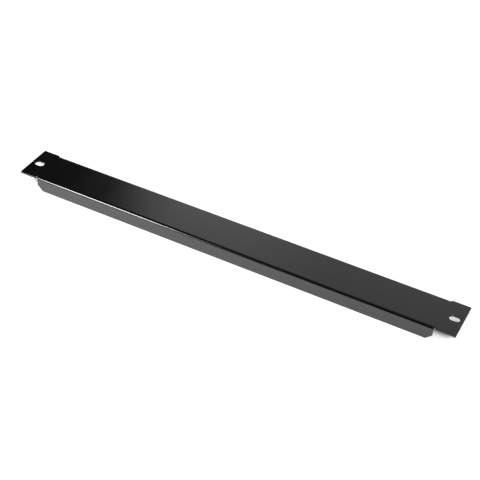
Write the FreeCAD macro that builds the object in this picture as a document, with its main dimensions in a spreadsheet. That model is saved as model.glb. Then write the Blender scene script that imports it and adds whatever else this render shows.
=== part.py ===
import FreeCAD, Part
from enum import IntEnum
import math
import os
import Sketcher

# A 1U rack blanking panel, folded from one sheet of steel: a flat face that ends in two plain ears,
# and a flange folded down 90 degrees along each long edge. It lies face up on the flange edges.
# Units are millimetres. X runs along the panel, Y across it and Z up, away from the rack.
# The origin is under the middle of the face, at the level of the flange edges.

NODE_NAME = "blanking_panel"

DRIVING_SIZES = [
    ("panel_length", 482.6, "overall length of the face, the 19 inch rack width"),
    ("panel_height", 43.66, "height of the face in the rack, 1U less its clearance"),
    ("sheet_thickness", 2.0, "thickness of the steel sheet"),
    ("inner_bend_radius", 1.0, "radius inside each fold"),
    ("flange_depth", 15.9, "depth of each flange, measured over the face"),
    ("ear_length", 21.3, "length of each flat ear, past the end of the flanges"),
    ("flange_crop", 6.0, "both legs of the 45 degree crop on the free corners of a flange"),
    ("relief_width", 2.4, "width of the bend relief between a flange and an ear"),
    ("relief_depth", 1.5, "depth of the bend relief, in from the long edge of the ear"),
    ("slot_inset", 8.75, "from the end of the panel to the middle of its mounting slot"),
    ("slot_length", 10.5, "overall length of a mounting slot, along X"),
    ("slot_width", 7.0, "width of a mounting slot, along Y"),
    ("corner_radius", 0.5, "radius on the four corners of the face"),
]

# Where the flanges end and where the mounting slot lies, from the middle of the panel.
FLANGE_END = "sizes.panel_length / 2 - sizes.ear_length"
SLOT_MIDDLE = "sizes.panel_length / 2 - sizes.slot_inset"

QUARTER_TURN = math.pi / 2
HALF_TURN = math.pi
POSITION_TOLERANCE = 1e-4


class Point(IntEnum):
    """The numbers that a sketch gives to the points of a line or an arc."""
    START = 1
    END = 2
    CENTRE = 3


class Axis(IntEnum):
    """The numbers that a sketch gives to its own axes."""
    HORIZONTAL = -1
    VERTICAL = -2


ORIGIN_POINT = (Axis.HORIZONTAL, Point.START)


# ---- the document and its sheet of sizes ----

def make_size_sheet(document):
    """The spreadsheet that holds every driving size, one to a row, with its name as alias."""
    sheet = document.addObject("Spreadsheet::Sheet", "sizes")
    for row, (name, value, note) in enumerate(DRIVING_SIZES, start=1):
        sheet.set(f"A{row}", name)
        sheet.set(f"B{row}", str(value))
        sheet.set(f"C{row}", note)
        sheet.setAlias(f"B{row}", name)
    document.recompute()
    return sheet


def origin_plane(body, role):
    """One of the body's own origin planes, found by its role."""
    for feature in body.Origin.OriginFeatures:
        if feature.Role == role:
            return feature
    raise RuntimeError(f"{body.Label} has no origin plane {role}")


def new_sketch(body, name, plane_role, offset="0"):
    """A sketch on an origin plane of the body, raised along the plane's normal by an expression."""
    sketch = body.newObject("Sketcher::SketchObject", name)
    sketch.AttachmentSupport = [(origin_plane(body, plane_role), "")]
    sketch.MapMode = "FlatFace"
    sketch.setExpression("AttachmentOffset.Base.z", offset)
    return sketch


# ---- sketch helpers ----

def line(sketch, start, end):
    """A straight segment between two (x, y) points."""
    return sketch.addGeometry(Part.LineSegment(FreeCAD.Vector(*start, 0), FreeCAD.Vector(*end, 0)))


def arc(sketch, centre, radius, start_angle, end_angle):
    """An arc that runs anticlockwise from start_angle to end_angle."""
    circle = Part.Circle(FreeCAD.Vector(*centre, 0), FreeCAD.Vector(0, 0, 1), radius)
    return sketch.addGeometry(Part.ArcOfCircle(circle, start_angle, end_angle))


def constrain(sketch, kind, *references):
    """A constraint with no size, such as Vertical, Coincident or Tangent."""
    sketch.addConstraint(Sketcher.Constraint(kind, *references))


def dimension(sketch, name, kind, references, value, expression):
    """A named dimension that is bound to the sheet of sizes."""
    sketch.addConstraint(Sketcher.Constraint(kind, *references, value))
    sketch.renameConstraint(sketch.ConstraintCount - 1, name)
    sketch.setExpression(f"Constraints.{name}", expression)


# ---- features ----

def pad(body, sketch, name, length, both_ways=False, downward=False):
    """Material along the sketch's normal, through the length that an expression gives."""
    feature = body.newObject("PartDesign::Pad", name)
    feature.Profile = sketch
    feature.Midplane = both_ways
    feature.Reversed = downward
    feature.setExpression("Length", length)
    body.Document.recompute()
    return feature


def pocket_through(body, sketch, name, both_ways=False):
    """A cut through everything along the sketch's normal, which has to take material away."""
    volume_before = body.Shape.Volume
    feature = body.newObject("PartDesign::Pocket", name)
    feature.Profile = sketch
    feature.Type = "ThroughAll"
    feature.Midplane = both_ways
    body.Document.recompute()
    if not body.Shape.Volume < volume_before:
        raise RuntimeError(f"{name} takes no material away")
    return feature


def mirror_across(body, features, name, plane_role):
    """Copies of the features on the other side of one of the body's origin planes."""
    mirrored = body.newObject("PartDesign::Mirrored", name)
    mirrored.Originals = features
    mirrored.MirrorPlane = (origin_plane(body, plane_role), [""])
    body.Tip = mirrored
    body.Document.recompute()
    return mirrored


# ---- the folded channel: the face between the ears, with its two flanges ----

def draw_fold_section(body, size):
    """The section across the panel: an upside-down U of even thickness with round folds."""
    half = size["panel_height"] / 2
    inner = size["inner_bend_radius"]
    outer = inner + size["sheet_thickness"]
    top = size["flange_depth"]
    bend_y = half - outer
    bend_z = top - outer
    inner_half = bend_y + inner
    inner_top = bend_z + inner

    sketch = new_sketch(body, "fold_section", "YZ_Plane")
    left_outside = line(sketch, (-half, 0), (-half, bend_z))
    left_outer_bend = arc(sketch, (-bend_y, bend_z), outer, QUARTER_TURN, HALF_TURN)
    face_front = line(sketch, (-bend_y, top), (bend_y, top))
    right_outer_bend = arc(sketch, (bend_y, bend_z), outer, 0, QUARTER_TURN)
    right_outside = line(sketch, (half, bend_z), (half, 0))
    right_edge = line(sketch, (half, 0), (inner_half, 0))
    right_inside = line(sketch, (inner_half, 0), (inner_half, bend_z))
    right_inner_bend = arc(sketch, (bend_y, bend_z), inner, 0, QUARTER_TURN)
    face_back = line(sketch, (bend_y, inner_top), (-bend_y, inner_top))
    left_inner_bend = arc(sketch, (-bend_y, bend_z), inner, QUARTER_TURN, HALF_TURN)
    left_inside = line(sketch, (-inner_half, bend_z), (-inner_half, 0))
    left_edge = line(sketch, (-inner_half, 0), (-half, 0))

    constrain(sketch, "Tangent", left_outside, Point.END, left_outer_bend, Point.END)
    constrain(sketch, "Tangent", left_outer_bend, Point.START, face_front, Point.START)
    constrain(sketch, "Tangent", face_front, Point.END, right_outer_bend, Point.END)
    constrain(sketch, "Tangent", right_outer_bend, Point.START, right_outside, Point.START)
    constrain(sketch, "Coincident", right_outside, Point.END, right_edge, Point.START)
    constrain(sketch, "Coincident", right_edge, Point.END, right_inside, Point.START)
    constrain(sketch, "Tangent", right_inside, Point.END, right_inner_bend, Point.START)
    constrain(sketch, "Tangent", right_inner_bend, Point.END, face_back, Point.START)
    constrain(sketch, "Tangent", face_back, Point.END, left_inner_bend, Point.START)
    constrain(sketch, "Tangent", left_inner_bend, Point.END, left_inside, Point.START)
    constrain(sketch, "Coincident", left_inside, Point.END, left_edge, Point.START)
    constrain(sketch, "Coincident", left_edge, Point.END, left_outside, Point.START)
    for upright in (left_outside, right_outside, right_inside, left_inside):
        constrain(sketch, "Vertical", upright)
    for level in (face_front, face_back, right_edge, left_edge):
        constrain(sketch, "Horizontal", level)
    constrain(sketch, "Coincident", left_outer_bend, Point.CENTRE, left_inner_bend, Point.CENTRE)
    constrain(sketch, "Coincident", right_outer_bend, Point.CENTRE, right_inner_bend, Point.CENTRE)
    constrain(sketch, "Equal", left_inner_bend, right_inner_bend)
    constrain(sketch, "Symmetric", left_outside, Point.START, right_outside, Point.END, Axis.VERTICAL)
    constrain(sketch, "PointOnObject", left_outside, Point.START, Axis.HORIZONTAL)

    dimension(sketch, "height", "DistanceX", (left_outside, Point.START, right_outside, Point.END),
              2 * half, "sizes.panel_height")
    dimension(sketch, "depth", "DistanceY", (left_outside, Point.START, face_front, Point.START),
              top, "sizes.flange_depth")
    dimension(sketch, "thickness", "DistanceX", (right_edge, Point.END, right_edge, Point.START),
              outer - inner, "sizes.sheet_thickness")
    dimension(sketch, "fold_radius", "Radius", (right_inner_bend,),
              inner, "sizes.inner_bend_radius")
    return sketch


def draw_flange_crop(body, size):
    """The triangle that is cropped from the free corner of both flanges, at the +X end."""
    end_x = size["panel_length"] / 2 - size["ear_length"]
    leg = size["flange_crop"]

    sketch = new_sketch(body, "flange_crop_outline", "XZ_Plane")
    along_edge = line(sketch, (end_x - leg, 0), (end_x, 0))
    up_the_end = line(sketch, (end_x, 0), (end_x, leg))
    slope = line(sketch, (end_x, leg), (end_x - leg, 0))

    constrain(sketch, "Coincident", along_edge, Point.END, up_the_end, Point.START)
    constrain(sketch, "Coincident", up_the_end, Point.END, slope, Point.START)
    constrain(sketch, "Coincident", slope, Point.END, along_edge, Point.START)
    constrain(sketch, "Horizontal", along_edge)
    constrain(sketch, "Vertical", up_the_end)
    constrain(sketch, "Equal", along_edge, up_the_end)
    constrain(sketch, "PointOnObject", up_the_end, Point.START, Axis.HORIZONTAL)

    dimension(sketch, "flange_end", "DistanceX", (*ORIGIN_POINT, up_the_end, Point.START),
              end_x, FLANGE_END)
    dimension(sketch, "leg", "DistanceX", (along_edge, Point.START, along_edge, Point.END),
              leg, "sizes.flange_crop")
    return sketch


# ---- the ear at the +X end: its flat outline, bend reliefs and mounting slot ----

def draw_ear(body, size):
    """The rectangle of flat sheet from the end of the flanges to the end of the panel."""
    outer_x = size["panel_length"] / 2
    inner_x = outer_x - size["ear_length"]
    half = size["panel_height"] / 2

    sketch = new_sketch(body, "ear_outline", "XY_Plane", "sizes.flange_depth")
    near_side = line(sketch, (inner_x, -half), (outer_x, -half))
    outer_end = line(sketch, (outer_x, -half), (outer_x, half))
    far_side = line(sketch, (outer_x, half), (inner_x, half))
    inner_end = line(sketch, (inner_x, half), (inner_x, -half))

    constrain(sketch, "Coincident", near_side, Point.END, outer_end, Point.START)
    constrain(sketch, "Coincident", outer_end, Point.END, far_side, Point.START)
    constrain(sketch, "Coincident", far_side, Point.END, inner_end, Point.START)
    constrain(sketch, "Coincident", inner_end, Point.END, near_side, Point.START)
    constrain(sketch, "Horizontal", near_side)
    constrain(sketch, "Horizontal", far_side)
    constrain(sketch, "Vertical", outer_end)
    constrain(sketch, "Symmetric", inner_end, Point.START, inner_end, Point.END, Axis.HORIZONTAL)

    dimension(sketch, "inner_end", "DistanceX", (*ORIGIN_POINT, near_side, Point.START),
              inner_x, FLANGE_END)
    dimension(sketch, "outer_end", "DistanceX", (*ORIGIN_POINT, near_side, Point.END),
              outer_x, "sizes.panel_length / 2")
    dimension(sketch, "height", "DistanceY", (outer_end, Point.START, outer_end, Point.END),
              2 * half, "sizes.panel_height")
    return sketch


def draw_bend_reliefs(body, size):
    """A round-ended notch on each long side of the ear, against the end of the flange."""
    inner_x = size["panel_length"] / 2 - size["ear_length"]
    width = size["relief_width"]
    outer_x = inner_x + width
    centre_x = inner_x + width / 2
    edge = size["panel_height"] / 2
    centre_y = edge - size["relief_depth"] + width / 2
    # The notch is open: its mouth is drawn one relief width outside the edge of the sheet.
    mouth_y = edge + width

    sketch = new_sketch(body, "bend_relief_outline", "XY_Plane", "sizes.flange_depth")
    for side, sign in (("near", -1), ("far", 1)):
        inner_wall = line(sketch, (inner_x, sign * mouth_y), (inner_x, sign * centre_y))
        outer_wall = line(sketch, (outer_x, sign * centre_y), (outer_x, sign * mouth_y))
        mouth = line(sketch, (outer_x, sign * mouth_y), (inner_x, sign * mouth_y))
        if sign > 0:
            round_end = arc(sketch, (centre_x, centre_y), width / 2, HALF_TURN, 2 * HALF_TURN)
            constrain(sketch, "Tangent", inner_wall, Point.END, round_end, Point.START)
            constrain(sketch, "Tangent", round_end, Point.END, outer_wall, Point.START)
        else:
            round_end = arc(sketch, (centre_x, -centre_y), width / 2, 0, HALF_TURN)
            constrain(sketch, "Tangent", inner_wall, Point.END, round_end, Point.END)
            constrain(sketch, "Tangent", round_end, Point.START, outer_wall, Point.START)
        constrain(sketch, "Coincident", outer_wall, Point.END, mouth, Point.START)
        constrain(sketch, "Coincident", mouth, Point.END, inner_wall, Point.START)
        constrain(sketch, "Vertical", inner_wall)
        constrain(sketch, "Vertical", outer_wall)
        constrain(sketch, "Horizontal", mouth)

        dimension(sketch, f"{side}_flange_end", "DistanceX", (*ORIGIN_POINT, inner_wall, Point.START),
                  inner_x, FLANGE_END)
        dimension(sketch, f"{side}_width", "DistanceX", (mouth, Point.END, mouth, Point.START),
                  width, "sizes.relief_width")
        up_to_centre = (*ORIGIN_POINT, round_end, Point.CENTRE)
        up_to_mouth = (*ORIGIN_POINT, mouth, Point.START)
        if sign < 0:
            up_to_centre = (round_end, Point.CENTRE, *ORIGIN_POINT)
            up_to_mouth = (mouth, Point.START, *ORIGIN_POINT)
        dimension(sketch, f"{side}_round_end", "DistanceY", up_to_centre,
                  centre_y, "sizes.panel_height / 2 - sizes.relief_depth + sizes.relief_width / 2")
        dimension(sketch, f"{side}_mouth", "DistanceY", up_to_mouth,
                  mouth_y, "sizes.panel_height / 2 + sizes.relief_width")
    return sketch


def draw_mounting_slot(body, size):
    """The slot for a rack screw, at mid-height of the ear and long along X."""
    radius = size["slot_width"] / 2
    straight = size["slot_length"] - size["slot_width"]
    first_x = size["panel_length"] / 2 - size["slot_inset"] - straight / 2
    last_x = first_x + straight

    sketch = new_sketch(body, "mounting_slot_outline", "XY_Plane", "sizes.flange_depth")
    first_end = arc(sketch, (first_x, 0), radius, QUARTER_TURN, 3 * QUARTER_TURN)
    near_side = line(sketch, (first_x, -radius), (last_x, -radius))
    last_end = arc(sketch, (last_x, 0), radius, -QUARTER_TURN, QUARTER_TURN)
    far_side = line(sketch, (last_x, radius), (first_x, radius))

    constrain(sketch, "Tangent", first_end, Point.END, near_side, Point.START)
    constrain(sketch, "Tangent", near_side, Point.END, last_end, Point.START)
    constrain(sketch, "Tangent", last_end, Point.END, far_side, Point.START)
    constrain(sketch, "Tangent", far_side, Point.END, first_end, Point.START)
    constrain(sketch, "Horizontal", near_side)
    constrain(sketch, "Equal", first_end, last_end)
    constrain(sketch, "PointOnObject", first_end, Point.CENTRE, Axis.HORIZONTAL)

    dimension(sketch, "end_radius", "Radius", (first_end,), radius, "sizes.slot_width / 2")
    dimension(sketch, "straight", "DistanceX", (first_end, Point.CENTRE, last_end, Point.CENTRE),
              straight, "sizes.slot_length - sizes.slot_width")
    dimension(sketch, "first_centre", "DistanceX", (*ORIGIN_POINT, first_end, Point.CENTRE),
              first_x, f"{SLOT_MIDDLE} - (sizes.slot_length - sizes.slot_width) / 2")
    return sketch


def face_corner_edges(shape, size):
    """The names of the four short upright edges at the corners of the face."""
    names = []
    for number, edge in enumerate(shape.Edges, start=1):
        at_corner = True
        for vertex in edge.Vertexes:
            along = abs(abs(vertex.X) - size["panel_length"] / 2)
            across = abs(abs(vertex.Y) - size["panel_height"] / 2)
            if max(along, across) > POSITION_TOLERANCE:
                at_corner = False
        if at_corner and edge.Length < size["panel_height"] / 2:
            names.append(f"Edge{number}")
    return names


def round_face_corners(body, size):
    """A small radius on the four corners of the face, through the sheet."""
    base = body.Tip
    fillet = body.newObject("PartDesign::Fillet", "face_corners")
    fillet.Base = (base, face_corner_edges(base.Shape, size))
    fillet.setExpression("Radius", "sizes.corner_radius")
    body.Document.recompute()
    return fillet


# ---- the panel ----

def make_blanking_panel(document, size):
    """The folded panel: channel, then one ear with its cuts, mirrored to the other end."""
    body = document.addObject("PartDesign::Body", NODE_NAME)
    body.Label = NODE_NAME
    body.Placement = FreeCAD.Placement(FreeCAD.Vector(0, 0, 0), FreeCAD.Rotation())

    section = draw_fold_section(body, size)
    pad(body, section, "folded_channel", "sizes.panel_length - 2 * sizes.ear_length", both_ways=True)

    ear_outline = draw_ear(body, size)
    ear = pad(body, ear_outline, "ear", "sizes.sheet_thickness", downward=True)
    reliefs = pocket_through(body, draw_bend_reliefs(body, size), "bend_reliefs")
    slot = pocket_through(body, draw_mounting_slot(body, size), "mounting_slot")
    crops = pocket_through(body, draw_flange_crop(body, size), "flange_crops", both_ways=True)

    mirror_across(body, [ear, reliefs, slot, crops], "other_end", "YZ_Plane")
    round_face_corners(body, size)
    return body


def check_document(document, body):
    """Stops the macro if any object failed or the panel is not one sound solid."""
    for item in document.Objects:
        if "Invalid" in item.State or "Error" in item.State:
            raise RuntimeError(f"{item.Name} failed: {item.State}")
    shape = body.Shape
    if shape.isNull() or not shape.isValid():
        raise RuntimeError(f"{body.Label} has no valid shape")
    if len(shape.Solids) != 1:
        raise RuntimeError(f"{body.Label} has {len(shape.Solids)} solids instead of one")


def main():
    document = FreeCAD.newDocument("rack_blanking_panel")
    sheet = make_size_sheet(document)
    size = {name: float(sheet.get(name)) for name, _, _ in DRIVING_SIZES}
    body = make_blanking_panel(document, size)
    document.recompute()
    check_document(document, body)

    os.makedirs("parts", exist_ok=True)
    body.Shape.exportStep(os.path.join("parts", f"{body.Label}.step"))
    box = body.Shape.BoundBox
    print(f"{body.Label}: {box.XLength:.2f} x {box.YLength:.2f} x {box.ZLength:.2f} mm,",
          f"volume {body.Shape.Volume:.1f} mm3")


main()
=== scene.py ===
import math
import bmesh
import bpy
from mathutils import Matrix, Vector


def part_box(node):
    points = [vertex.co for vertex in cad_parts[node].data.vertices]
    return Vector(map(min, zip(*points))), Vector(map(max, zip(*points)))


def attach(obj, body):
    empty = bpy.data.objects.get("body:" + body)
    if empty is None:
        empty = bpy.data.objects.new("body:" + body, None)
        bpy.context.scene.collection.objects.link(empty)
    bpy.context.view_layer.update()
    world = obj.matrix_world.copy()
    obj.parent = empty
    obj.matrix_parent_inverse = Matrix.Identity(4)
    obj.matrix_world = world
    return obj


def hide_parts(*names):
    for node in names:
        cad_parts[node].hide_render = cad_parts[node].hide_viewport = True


# The looks of a 1U rack blanking panel: one sheet of steel, folded along both long edges and coated
# in semi-gloss black powder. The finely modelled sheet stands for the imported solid, in its place.

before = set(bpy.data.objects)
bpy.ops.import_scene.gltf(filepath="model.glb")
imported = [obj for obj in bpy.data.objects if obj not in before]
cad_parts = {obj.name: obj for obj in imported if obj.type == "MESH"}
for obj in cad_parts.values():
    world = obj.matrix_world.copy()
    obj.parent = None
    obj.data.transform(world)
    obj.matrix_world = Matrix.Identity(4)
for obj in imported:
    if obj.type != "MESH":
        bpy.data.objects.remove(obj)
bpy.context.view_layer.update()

# ---- sizes, in metres ----

MM = 0.001
NODE = "blanking_panel"

PANEL_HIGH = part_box(NODE)[1]      # the panel's own corner farthest along all three axes
END_X = PANEL_HIGH.x
EDGE_Y = PANEL_HIGH.y
FACE_Z = PANEL_HIGH.z

SHEET = 2.0 * MM
FOLD_RADIUS = 3.0 * MM            # outside of each fold
EAR_LENGTH = 21.3 * MM
FLANGE_CROP = 6.0 * MM
RELIEF_WIDTH = 2.4 * MM
RELIEF_DEPTH = 1.5 * MM
SHEAR_GAP = 0.3 * MM              # the cut that parts the fold from the ear, below the relief
SLOT_INSET = 8.75 * MM
SLOT_LENGTH = 10.5 * MM
SLOT_WIDTH = 7.0 * MM
CORNER_RADIUS = 0.5 * MM
RELIEF_ROUND = 0.9 * MM           # the inner corner of each relief
EDGE_ROUND = 0.35 * MM            # the coat rounds every cut edge

FLANGE_END = END_X - EAR_LENGTH
FOLD_START = EDGE_Y - FOLD_RADIUS
FOLD_ARC = FOLD_RADIUS * math.pi / 2
BLANK_EDGE = FOLD_START + FOLD_ARC + FACE_Z - FOLD_RADIUS

ARC_STEP = math.radians(9)        # how finely arcs, folds and rounded edges are divided
FOLD_STEPS = 16
ROUND_STEPS = 5
SAME_POINT = 0.001 * MM           # points closer than this are one


# ---- the flat blank: outlines as (point, outward normal) pairs, x along the panel and t across ----

def outward(direction):
    """The normal on the right of a direction, away from the sheet."""
    return Vector((direction.y, -direction.x))


def rounded_corner(before, corner, after, radius):
    """The arc that rounds one corner of an outline."""
    arrive = (corner - before).normalized()
    leave = (after - corner).normalized()
    turn = math.atan2(arrive.cross(leave), arrive.dot(leave))
    side = math.copysign(radius, turn)
    start = corner - arrive * radius * math.tan(abs(turn) / 2)
    centre = start - outward(arrive) * side
    steps = max(1, math.ceil(abs(turn) / ARC_STEP))
    arc = []
    for step in range(steps + 1):
        normal = outward(arrive)
        normal.rotate(Matrix.Rotation(turn * step / steps, 2))
        arc.append((centre + normal * side, normal))
    return arc


def rounded_path(corners, first, last):
    """The arcs at all corners (x, t, radius) of a path that comes from first and goes on to last."""
    places = [Vector(corner[:2]) for corner in corners]
    around = [Vector(first)] + places + [Vector(last)]
    path = []
    for number, (_, _, radius) in enumerate(corners):
        arc = rounded_corner(*around[number:number + 3], radius)
        if path and (arc[0][0] - path[-1][0]).length < SAME_POINT:
            arc = arc[1:]
        path += arc
    return path


def quarter_outline():
    """One quarter of the blank, from the middle of an end to the middle of a long edge.

    Returns the points and the number of the first of them that lies on the fold.
    """
    relief_x = FLANGE_END + RELIEF_WIDTH
    relief_t = EDGE_Y - RELIEF_DEPTH
    shear_x = FLANGE_END + SHEAR_GAP
    shear_t = FOLD_START - SHEAR_GAP / 2
    crop_t = BLANK_EDGE - FLANGE_CROP
    ear = [
        (END_X, EDGE_Y, CORNER_RADIUS),
        (relief_x, EDGE_Y, CORNER_RADIUS),
        (relief_x, relief_t, RELIEF_ROUND),
        (shear_x, relief_t, CORNER_RADIUS),
        (shear_x, shear_t, SHEAR_GAP / 2),
        (FLANGE_END, shear_t, SHEAR_GAP / 2),
    ]
    crop = [
        (FLANGE_END, crop_t, CORNER_RADIUS),
        (FLANGE_END - FLANGE_CROP, BLANK_EDGE, CORNER_RADIUS),
    ]
    points = rounded_path(ear, (END_X, 0), (FLANGE_END, crop_t))
    fold_first = len(points) - 1
    for step in range(1, FOLD_STEPS + 1):
        t = FOLD_START + FOLD_ARC * step / FOLD_STEPS
        points.append((Vector((FLANGE_END, t)), Vector((1, 0))))
    points += rounded_path(crop, (FLANGE_END, FOLD_START), (0, BLANK_EDGE))
    return points, fold_first


def mirrored(points, sign_x, sign_t):
    """The quarter at another corner, always running the same way round the blank."""
    flip = Vector((sign_x, sign_t))
    copied = [(point * flip, normal * flip) for point, normal in points]
    return copied if sign_x == sign_t else copied[::-1]


def slot_outline(side):
    """The round-ended mounting slot of one ear, running so that its normals point into the hole."""
    middle = side * (END_X - SLOT_INSET)
    left, right = middle - SLOT_LENGTH / 2, middle + SLOT_LENGTH / 2
    radius = SLOT_WIDTH / 2
    corners = [
        (left, -radius, radius),
        (left, radius, radius),
        (right, radius, radius),
        (right, -radius, radius),
    ]
    path = rounded_path(corners, (right, -radius), (left, -radius))
    return path[:-1] if (path[0][0] - path[-1][0]).length < SAME_POINT else path


# ---- folding: where a point of the blank goes, and its normal ----

def on_fold(point):
    return abs(point.x) <= FLANGE_END + SAME_POINT and abs(point.y) > FOLD_START


def folded(point, depth):
    """A point of the blank, at a depth below the outer skin, once the sheet is folded."""
    side = math.copysign(1, point.y)
    if not on_fold(point):
        return Vector((point.x, point.y, FACE_Z - depth))
    along = abs(point.y) - FOLD_START
    turned = min(along / FOLD_RADIUS, math.pi / 2)
    radius = FOLD_RADIUS - depth
    y = FOLD_START + radius * math.sin(turned)
    z = FACE_Z - FOLD_RADIUS + radius * math.cos(turned) - max(0, along - FOLD_ARC)
    return Vector((point.x, side * y, z))


def folded_normal(point, outward_part, normal, skin_part):
    """The normal of the folded sheet, from its part out of the cut edge and its part out of the skin."""
    side = math.copysign(1, point.y)
    turned = 0.0
    if on_fold(point):
        turned = min((abs(point.y) - FOLD_START) / FOLD_RADIUS, math.pi / 2)
    across = Vector((0, math.cos(turned), -side * math.sin(turned)))
    skin = Vector((0, side * math.sin(turned), math.cos(turned)))
    edge = Vector((normal.x, 0, 0)) + across * normal.y
    return edge * outward_part + skin * skin_part


def edge_profile():
    """Rows over a cut edge, from the outer skin round to the inner: inset, depth, and normal parts."""
    rows = []
    for step in range(ROUND_STEPS + 1):
        angle = math.pi / 2 * step / ROUND_STEPS
        inset = EDGE_ROUND * (1 - math.sin(angle))
        depth = EDGE_ROUND * (1 - math.cos(angle))
        rows.append((inset, depth, math.sin(angle), math.cos(angle)))
    return rows + [(inset, SHEET - depth, out, -skin) for inset, depth, out, skin in reversed(rows)]


# ---- the mesh ----

class SheetMesh:
    """Collects the vertices of the folded sheet with their exact normals."""

    def __init__(self):
        self.bm = bmesh.new()
        self.normals = []
        self.on_edge = []

    def rows_round(self, outline):
        """The rows of vertices over one cut edge, joined by faces. Returns the outer and inner rows."""
        rows = []
        for inset, depth, out, skin in edge_profile():
            row = []
            for point, normal in outline:
                place = point - normal * inset
                row.append(self.bm.verts.new(folded(place, depth)))
                self.normals.append(folded_normal(place, out, normal, skin))
                self.on_edge.append(1.0 if out > 0 else 0.0)
            rows.append(row)
        for upper, lower in zip(rows, rows[1:]):
            for number in range(len(outline)):
                following = (number + 1) % len(outline)
                self.bm.faces.new((upper[following], upper[number], lower[number], lower[following]))
        return rows[0], rows[-1]

    def fill(self, loops):
        """Triangles in a flat region: one outer loop of vertices, and holes."""
        edges = []
        for loop in loops:
            for number, vertex in enumerate(loop):
                pair = (vertex, loop[(number + 1) % len(loop)])
                edges.append(self.bm.edges.get(pair) or self.bm.edges.new(pair))
        bmesh.ops.triangle_fill(self.bm, use_beauty=True, use_dissolve=False, edges=edges)

    def skin(self, ring, quarter, fold_first, holes):
        """One skin of the sheet inside its ring of edge vertices: flat part, folds and flanges.

        The ring starts at one corner of the right ear, and its second half starts at the opposite corner,
        on the left ear. Each half has a fold and a flange, from fold_first vertices after its start to
        as many before its end.
        """
        half = 2 * quarter
        for start in (0, half):
            near = [start + fold_first + step for step in range(FOLD_STEPS + 1)]
            far = [start + half - 1 - fold_first - step for step in range(FOLD_STEPS + 1)]
            for step in range(FOLD_STEPS):
                corners = (near[step], near[step + 1], far[step + 1], far[step])
                self.bm.faces.new([ring[number] for number in corners])
            self.bm.faces.new(ring[near[-1]:far[-1] + 1])
        right_ear = ring[2 * half - 1 - fold_first:] + ring[:fold_first + 1]
        left_ear = ring[half - 1 - fold_first:half + fold_first + 1]
        self.fill([right_ear + left_ear] + holes)

    def finish(self, name):
        bmesh.ops.recalc_face_normals(self.bm, faces=self.bm.faces)
        mesh = bpy.data.meshes.new(name)
        self.bm.to_mesh(mesh)
        self.bm.free()
        mesh.shade_smooth()
        mesh.normals_split_custom_set_from_vertices([normal.normalized() for normal in self.normals])
        edge = mesh.attributes.new("cut_edge", "FLOAT", "POINT")
        edge.data.foreach_set("value", self.on_edge)
        return mesh


def make_sheet():
    """The folded sheet: every cut edge rounded, both skins, two folds, two slots."""
    quarter, fold_first = quarter_outline()
    outline = []
    for sign_x, sign_t in ((1, 1), (-1, 1), (-1, -1), (1, -1)):
        outline += mirrored(quarter, sign_x, sign_t)
    sheet = SheetMesh()
    outer_ring, inner_ring = sheet.rows_round(outline)
    outer_holes, inner_holes = [], []
    for side in (-1, 1):
        outer, inner = sheet.rows_round(slot_outline(side))
        outer_holes.append(outer)
        inner_holes.append(inner)
    sheet.skin(outer_ring, len(quarter), fold_first, outer_holes)
    sheet.skin(inner_ring, len(quarter), fold_first, inner_holes)
    piece = bpy.data.objects.new("folded_sheet", sheet.finish("folded_sheet"))
    bpy.context.scene.collection.objects.link(piece)
    return piece


# ---- node helpers ----

# The colour sockets of a Mix node share their names with its other sockets, so they go by number.
MIX_FIRST, MIX_SECOND, MIX_RESULT = 6, 7, 2


class Nodes:
    """Short calls to add and link shader nodes in one tree."""

    def __init__(self, tree):
        self.tree = tree
        tree.nodes.clear()

    def add(self, kind, **settings):
        node = self.tree.nodes.new(kind)
        for name, value in settings.items():
            setattr(node, name, value)
        return node

    def link(self, source, target):
        self.tree.links.new(source, target)

    def feed(self, socket, value):
        """Links a node's output, or sets a plain value."""
        if isinstance(value, bpy.types.NodeSocket):
            self.link(value, socket)
        else:
            socket.default_value = value

    def maths(self, operation, *values):
        node = self.add("ShaderNodeMath", operation=operation)
        for socket, value in zip(node.inputs, values):
            self.feed(socket, value)
        return node.outputs["Value"]

    def product(self, *values):
        total = values[0]
        for value in values[1:]:
            total = self.maths("MULTIPLY", total, value)
        return total

    def ramp(self, value, start, end, low=0.0, high=1.0):
        """low up to start, high past end, and smooth between."""
        node = self.add("ShaderNodeMapRange", interpolation_type="SMOOTHSTEP")
        sockets = ("Value", "From Min", "From Max", "To Min", "To Max")
        for socket, given in zip(sockets, (value, start, end, low, high)):
            self.feed(node.inputs[socket], given)
        return node.outputs["Result"]

    def noise(self, vector, size, detail, roughness):
        """Noise from 0 to 1 whose features are about size metres across."""
        node = self.add("ShaderNodeTexNoise")
        self.link(vector, node.inputs["Vector"])
        node.inputs["Scale"].default_value = 1 / size
        node.inputs["Detail"].default_value = detail
        node.inputs["Roughness"].default_value = roughness
        return node.outputs["Fac"]

    def mix_colour(self, factor, first, second):
        node = self.add("ShaderNodeMix", data_type="RGBA")
        self.feed(node.inputs["Factor"], factor)
        self.feed(node.inputs[MIX_FIRST], first)
        self.feed(node.inputs[MIX_SECOND], second)
        return node.outputs[MIX_RESULT]

    def split(self, vector):
        """The x, y and z of a vector."""
        node = self.add("ShaderNodeSeparateXYZ")
        self.link(vector, node.inputs["Vector"])
        return node.outputs


# ---- the black powder coat ----

COAT = (0.0030, 0.0030, 0.0031, 1)
COAT_PALE = (0.0040, 0.0040, 0.0040, 1)
WORN = (0.012, 0.0118, 0.0115, 1)       # thinner coat on the cut edges
DUST = (0.040, 0.039, 0.037, 1)
ROUGHNESS = (0.115, 0.15)
COAT_IOR = 1.56

# Noises of the coat: size, detail and roughness.
MOTTLE = (45 * MM, 3, 0.5)
GRAIN = (0.8 * MM, 2, 0.6)
PEEL = (3.2 * MM, 1, 0.5)
FLANGE_GRAIN = (2.2 * MM, 1, 0.5)       # the coat is coarser on the flanges

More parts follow.
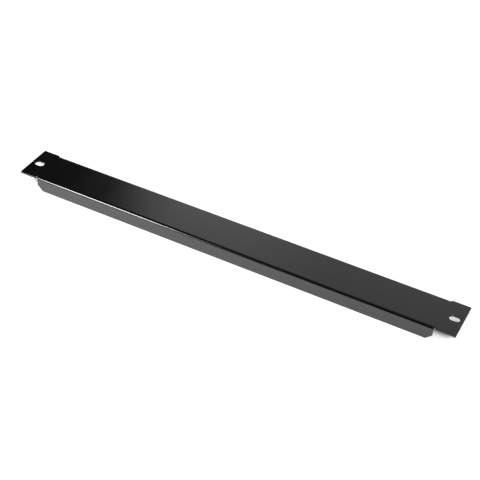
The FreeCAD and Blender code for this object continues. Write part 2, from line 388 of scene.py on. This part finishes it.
PALE_RANGE = (0.35, 0.65)               # of the mottle
WORN_RANGE = (0.85, 1.2)                # of the grain and the mottle together
ROUGH_RANGE = (0.4, 0.9)                # of the mottle and a share of the grain
GRAIN_SHARE = 0.3
PEEL_SHARE = 1.5                        # of the peel in the fine bump
FINE_HEIGHT = 0.004 * MM
FLANGE_HEIGHT = 0.28 * MM
UPRIGHT_RANGE = (0.05, 0.3)             # vertical part of the normal, from upright to not upright
DUST_SPACING = 38 * MM
DUST_SHARE = 0.55                       # of the places that hold a speck
DUST_RADIUS = (0.4 * MM, 0.9 * MM)


def dust_specks(nodes, place):
    """Few pale specks, one at most in each cell of a loose grid."""
    cells = nodes.add("ShaderNodeTexVoronoi")
    nodes.link(place, cells.inputs["Vector"])
    cells.inputs["Scale"].default_value = 1 / DUST_SPACING
    reach = [radius / DUST_SPACING for radius in DUST_RADIUS]
    speck = nodes.ramp(cells.outputs["Distance"], *reach, 1.0, 0.0)
    chance = nodes.add("ShaderNodeSeparateColor")
    nodes.link(cells.outputs["Color"], chance.inputs["Color"])
    return nodes.product(speck, nodes.maths("LESS_THAN", chance.outputs["Red"], DUST_SHARE))


def coat_colour(nodes, place, mottle, grain):
    edge = nodes.add("ShaderNodeAttribute", attribute_name="cut_edge").outputs["Fac"]
    thin = nodes.ramp(nodes.maths("ADD", grain, mottle), *WORN_RANGE)
    colour = nodes.mix_colour(nodes.ramp(mottle, *PALE_RANGE), COAT, COAT_PALE)
    colour = nodes.mix_colour(nodes.product(edge, thin), colour, WORN)
    return nodes.mix_colour(dust_specks(nodes, place), colour, DUST)


def coat_roughness(nodes, mottle, grain):
    patchy = nodes.maths("ADD", mottle, nodes.product(grain, GRAIN_SHARE))
    return nodes.ramp(patchy, *ROUGH_RANGE, *ROUGHNESS)


def coat_bump(nodes, place, grain):
    """A fine grain and a slight peel all over, and a coarser grain on the flanges."""
    peel = nodes.noise(place, *PEEL)
    fine = nodes.add("ShaderNodeBump")
    fine.inputs["Distance"].default_value = FINE_HEIGHT
    nodes.link(nodes.maths("ADD", grain, nodes.product(peel, PEEL_SHARE)), fine.inputs["Height"])
    normal = nodes.split(nodes.add("ShaderNodeTexCoord").outputs["Normal"])
    upright = nodes.ramp(nodes.maths("ABSOLUTE", normal["Z"]), *UPRIGHT_RANGE, 1.0, 0.0)
    coarse = nodes.add("ShaderNodeBump")
    coarse.inputs["Distance"].default_value = FLANGE_HEIGHT
    nodes.link(upright, coarse.inputs["Strength"])
    nodes.link(nodes.noise(place, *FLANGE_GRAIN), coarse.inputs["Height"])
    nodes.link(fine.outputs["Normal"], coarse.inputs["Normal"])
    return coarse.outputs["Normal"]


def powder_coat():
    material = bpy.data.materials.new("black_powder_coat")
    material.use_nodes = True
    nodes = Nodes(material.node_tree)
    place = nodes.add("ShaderNodeTexCoord").outputs["Object"]
    mottle = nodes.noise(place, *MOTTLE)
    grain = nodes.noise(place, *GRAIN)
    surface = nodes.add("ShaderNodeBsdfPrincipled")
    nodes.link(coat_colour(nodes, place, mottle, grain), surface.inputs["Base Color"])
    nodes.link(coat_roughness(nodes, mottle, grain), surface.inputs["Roughness"])
    nodes.link(coat_bump(nodes, place, grain), surface.inputs["Normal"])
    surface.inputs["IOR"].default_value = COAT_IOR
    output = nodes.add("ShaderNodeOutputMaterial")
    nodes.link(surface.outputs["BSDF"], output.inputs["Surface"])
    return material


# ---- the floor ----

FLOOR_SIZE = 60.0
# Painted light on the floor: outside the panel's outline the camera sees an added glow that makes the
# panel's shadow faint there, while under the panel the floor shows its shade. The glow stops at the
# panel's outline.
FLOOR_COLOUR = (0.9, 0.9, 0.9, 1)       # for the light that the floor gives back
# Painted reflection: the coat mirrors the floor brighter outside the panel's outline than under it, cut
# at the outline.
FLOOR_PAINTED_IN_GLOSS = (1.64, 1.64, 1.64, 1)  # as the coat mirrors it outside the panel's outline
FLOOR_BELOW = (1.7, 1.7, 1.7, 1)        # as the camera sees it under the panel
FLOOR_SHADED = (0.30, 0.30, 0.30, 1)    # as the camera sees its light and shade outside the outline
FLOOR_PAINTED_GLOW = 0.84                      # and the plain white added to that
FLOOR_BLEND = 10 * MM                   # how far the change reaches in under the long edges
FLOOR_END_BLEND = 4 * MM                # and under the ends


def painted_light_mask(nodes):
    """Where the floor gets its painted light: 1 on the floor outside the panel's outline, 0 well under
    the panel, and smooth between.
    """
    place = nodes.split(nodes.add("ShaderNodeTexCoord").outputs["Object"])
    along = nodes.maths("ABSOLUTE", place["X"])
    across = nodes.maths("ABSOLUTE", place["Y"])
    past_end = nodes.ramp(along, END_X - FLOOR_END_BLEND, END_X)
    past_edge = nodes.ramp(across, EDGE_Y - FLOOR_BLEND, EDGE_Y)
    return nodes.maths("MAXIMUM", past_end, past_edge)


def white_floor():
    """A floor that lights the panel as a plain pale one, and is white to the camera round it through a
    painted glow that makes the panel's shadow faint there; the coat also mirrors it brighter round the
    panel than under it, a painted reflection.
    """
    material = bpy.data.materials.new("white_floor")
    material.use_nodes = True
    nodes = Nodes(material.node_tree)
    rays = nodes.add("ShaderNodeLightPath").outputs
    camera_ray = rays["Is Camera Ray"]
    mirrored_ray = nodes.maths("MAXIMUM", rays["Is Glossy Ray"], rays["Is Transmission Ray"])
    outside = painted_light_mask(nodes)
    # Painted glow: outside the outline the camera sees a share of the floor's light and shade plus added
    # emission, which makes the panel's shadow faint there.
    seen_with_painted_glow = nodes.product(camera_ray, outside)
    # Painted reflection: glossy rays see the floor brighter outside the panel's outline than under it.
    colour = nodes.mix_colour(nodes.product(mirrored_ray, outside), FLOOR_COLOUR, FLOOR_PAINTED_IN_GLOSS)
    colour = nodes.mix_colour(camera_ray, colour, FLOOR_BELOW)
    colour = nodes.mix_colour(seen_with_painted_glow, colour, FLOOR_SHADED)
    diffuse = nodes.add("ShaderNodeBsdfDiffuse")
    nodes.link(colour, diffuse.inputs["Color"])
    glow = nodes.add("ShaderNodeEmission")
    nodes.link(nodes.product(seen_with_painted_glow, FLOOR_PAINTED_GLOW), glow.inputs["Strength"])
    both = nodes.add("ShaderNodeAddShader")
    for target, shader in zip(both.inputs, (diffuse.outputs["BSDF"], glow.outputs["Emission"])):
        nodes.link(shader, target)
    output = nodes.add("ShaderNodeOutputMaterial")
    nodes.link(both.outputs["Shader"], output.inputs["Surface"])
    return material


def make_floor():
    """The floor lies at the level that the flange edges rest on."""
    bpy.ops.mesh.primitive_plane_add(size=FLOOR_SIZE, location=(0, 0, 0))
    floor = bpy.context.object
    floor.name = "floor"
    floor.data.materials.append(white_floor())


# ---- the lamps ----

SOFTBOXES = {
    # name: (place, width, height, power, what it lights: the surfaces, the gloss or both)
    "left_front": ((-0.43, -0.38, 0.52), 0.36, 0.30, 5.4, "surfaces"),
    "left_gloss": ((-0.446, -0.505, 0.366), 0.235, 0.16, 4.1, "gloss"),
    "left_glow": ((-0.425, -0.505, 0.366), 0.34, 0.20, 0.8, "gloss"),
    "right_front": ((0.50, -0.52, 0.60), 0.28, 0.22, 4.0, "both"),
}


def make_softboxes():
    for name, (place, width, height, power, use) in SOFTBOXES.items():
        light = bpy.data.lights.new(name, "AREA")
        light.shape = "RECTANGLE"
        light.size = width
        light.size_y = height
        light.energy = power
        lamp = bpy.data.objects.new(name, light)
        lamp.location = place
        lamp.rotation_euler = Vector(place).to_track_quat("Z", "Y").to_euler()
        lamp.visible_glossy = use != "surfaces"
        lamp.visible_diffuse = use != "gloss"
        bpy.context.scene.collection.objects.link(lamp)


# ---- the room ----

ROOM = 0.006
ROOM_TINT = (1.03, 1.0, 1.01, 1)
ROOM_TO_CAMERA = 1.0
# Soft panels round the set: azimuths in degrees from +Y towards +X where each one starts and is full,
# is still full and ends, then the same in elevation, then its brightness.
PANELS = [
    ((95, 110, 150, 172), (10, 25, 55, 70), 0.95),
    ((-120, -105, -85, -72), (5, 15, 45, 60), 0.30),
]
# The white cove behind the panel, which goes on overhead. Its height is an angle in degrees over the
# horizon behind, and its width is a slope, the part along X over the part across.
COVE_LEFT = (-0.510, -0.450)            # its left edge, at COVE_LEVEL
COVE_LEVEL = 44
COVE_LEAN = 0.0045                      # how far the left edge moves right for each degree
COVE_RIGHT = (0.5, 0.9)
COVE_BRIGHT, COVE_DIM = 1.31, 0.88      # its left part and its right part
COVE_CHANGE = (-0.38, -0.27)
COVE_START = (12, 32)
COVE_TOP = (41.5, 46.5)                 # here it drops to
COVE_OVERHEAD = 0.58                    # this part of its brightness
COVE_END = (60, 115)
LEAST_ACROSS = 0.001                    # keeps the slope finite


def cove(nodes, x, y, z):
    """The brightness of the white cove in a direction."""
    squares = nodes.maths("ADD", nodes.product(y, y), nodes.product(z, z))
    across = nodes.maths("MAXIMUM", nodes.maths("SQRT", squares), LEAST_ACROSS)
    slope = nodes.maths("DIVIDE", x, across)
    height = nodes.maths("DEGREES", nodes.maths("ARCTAN2", z, y))
    lean = nodes.product(nodes.maths("SUBTRACT", height, COVE_LEVEL), COVE_LEAN)
    return nodes.product(
        nodes.ramp(nodes.maths("SUBTRACT", slope, lean), *COVE_LEFT),
        nodes.ramp(slope, *COVE_RIGHT, 1.0, 0.0),
        nodes.ramp(slope, *COVE_CHANGE, COVE_BRIGHT, COVE_DIM),
        nodes.ramp(height, *COVE_START),
        nodes.ramp(height, *COVE_TOP, 1.0, COVE_OVERHEAD),
        nodes.ramp(height, *COVE_END, 1.0, 0.0),
    )


def soft_panel(nodes, azimuth, elevation, azimuths, elevations, brightness):
    """A panel in the room with soft sides."""
    parts = [brightness]
    for angle, (start, full, still, end) in ((azimuth, azimuths), (elevation, elevations)):
        parts.append(nodes.ramp(angle, start, full))
        parts.append(nodes.ramp(angle, still, end, 1.0, 0.0))
    return nodes.product(*parts)


def make_world():
    """A dim room with a white cove and soft panels, seen as plain white by the camera."""
    world = bpy.data.worlds.new("studio")
    bpy.context.scene.world = world
    world.use_nodes = True
    nodes = Nodes(world.node_tree)
    x, y, z = nodes.split(nodes.add("ShaderNodeTexCoord").outputs["Generated"])
    azimuth = nodes.maths("DEGREES", nodes.maths("ARCTAN2", x, y))
    elevation = nodes.maths("DEGREES", nodes.maths("ARCSINE", z))
    total = nodes.maths("ADD", cove(nodes, x, y, z), ROOM)
    for azimuths, elevations, brightness in PANELS:
        panel = soft_panel(nodes, azimuth, elevation, azimuths, elevations, brightness)
        total = nodes.maths("ADD", panel, total)
    strength = nodes.add("ShaderNodeMix", data_type="FLOAT")
    nodes.link(nodes.add("ShaderNodeLightPath").outputs["Is Camera Ray"], strength.inputs["Factor"])
    nodes.link(total, strength.inputs["A"])
    strength.inputs["B"].default_value = ROOM_TO_CAMERA
    background = nodes.add("ShaderNodeBackground")
    background.inputs["Color"].default_value = ROOM_TINT
    nodes.link(strength.outputs["Result"], background.inputs["Strength"])
    output = nodes.add("ShaderNodeOutputWorld")
    nodes.link(background.outputs["Background"], output.inputs["Surface"])


# ---- the camera: metres, degrees, and millimetres for the lens and the sensor ----

CAMERA_PLACE = (0.377520, -0.732352, 0.712304)
CAMERA_AZIMUTH = 26.703
CAMERA_ELEVATION = 40.442
CAMERA_ROLL = 2.451
CAMERA_LENS = 81.875
CAMERA_SENSOR = 36.0


def make_camera():
    data = bpy.data.cameras.new("camera")
    data.lens = CAMERA_LENS
    data.sensor_width = CAMERA_SENSOR
    camera = bpy.data.objects.new("camera", data)
    camera.matrix_world = (Matrix.Translation(CAMERA_PLACE)
                           @ Matrix.Rotation(math.radians(CAMERA_AZIMUTH), 4, "Z")
                           @ Matrix.Rotation(math.radians(90 - CAMERA_ELEVATION), 4, "X")
                           @ Matrix.Rotation(math.radians(CAMERA_ROLL), 4, "Z"))
    bpy.context.scene.collection.objects.link(camera)
    bpy.context.scene.camera = camera


# ---- putting it together ----

def main():
    bpy.context.scene.view_settings.view_transform = "Standard"
    make_camera()
    make_floor()
    make_softboxes()
    make_world()
    sheet = make_sheet()
    sheet.data.materials.append(powder_coat())
    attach(sheet, "root")
    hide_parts(NODE)


main()
